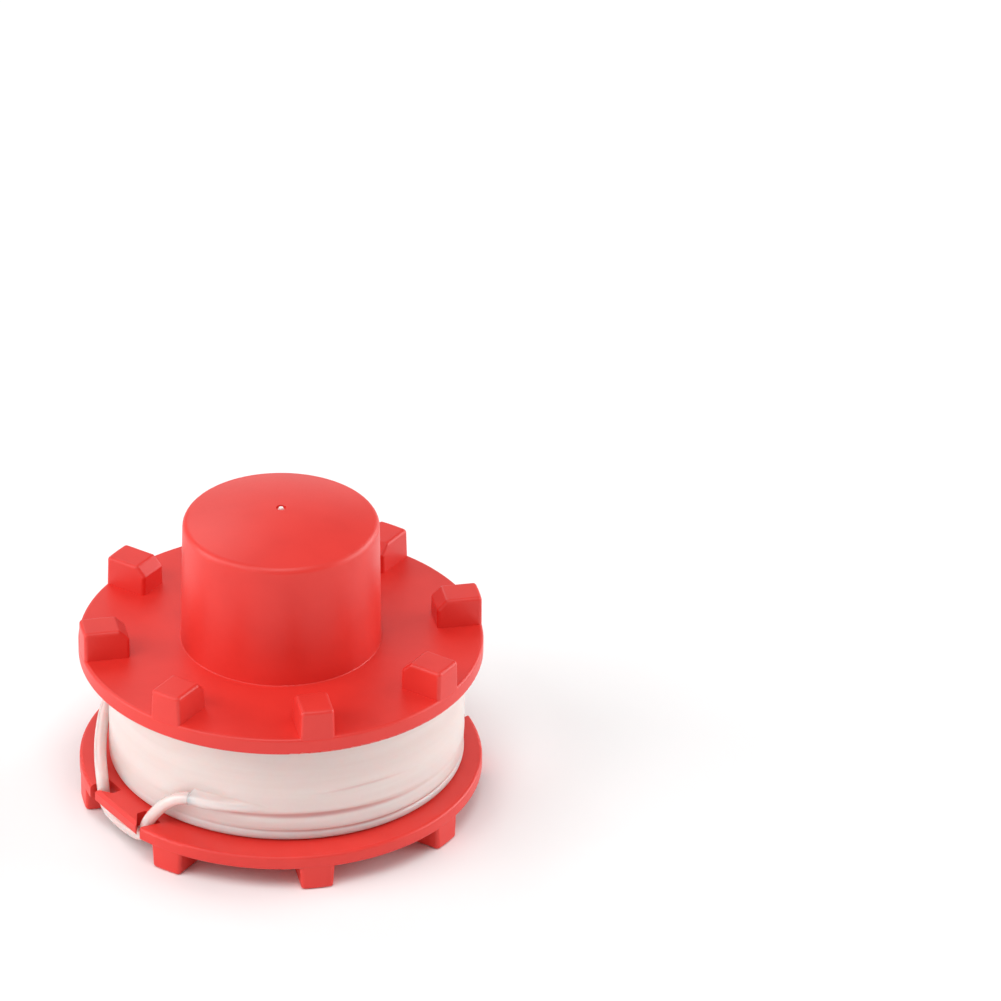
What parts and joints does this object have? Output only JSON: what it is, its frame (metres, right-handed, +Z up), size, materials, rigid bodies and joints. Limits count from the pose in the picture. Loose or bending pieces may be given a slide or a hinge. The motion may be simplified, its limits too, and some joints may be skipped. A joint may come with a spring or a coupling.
{
  "type": "trimmer line spool",
  "caption": "Round moulded spool for a grass trimmer head, with a bump knob, drive lugs and ribs, wound with nylon cutting line whose loose end is threaded through rim notches.",
  "frame": {"origin": "on the spool's axis, level with the undersides of the ribs it stands on", "axes": "+Z up along the axis towards the knob; +Y away from the side seen in the picture, +X to that side's right"},
  "size_m": [0.064, 0.064, 0.0509],
  "materials": {
    "red_plastic": "satin moulded plastic",
    "clear_line": "translucent natural nylon line"
  },
  "bodies": {
    "root": {"spool_body": "red_plastic", "line_winding": "clear_line", "line_tail": "clear_line"}
  },
  "joints": []
}
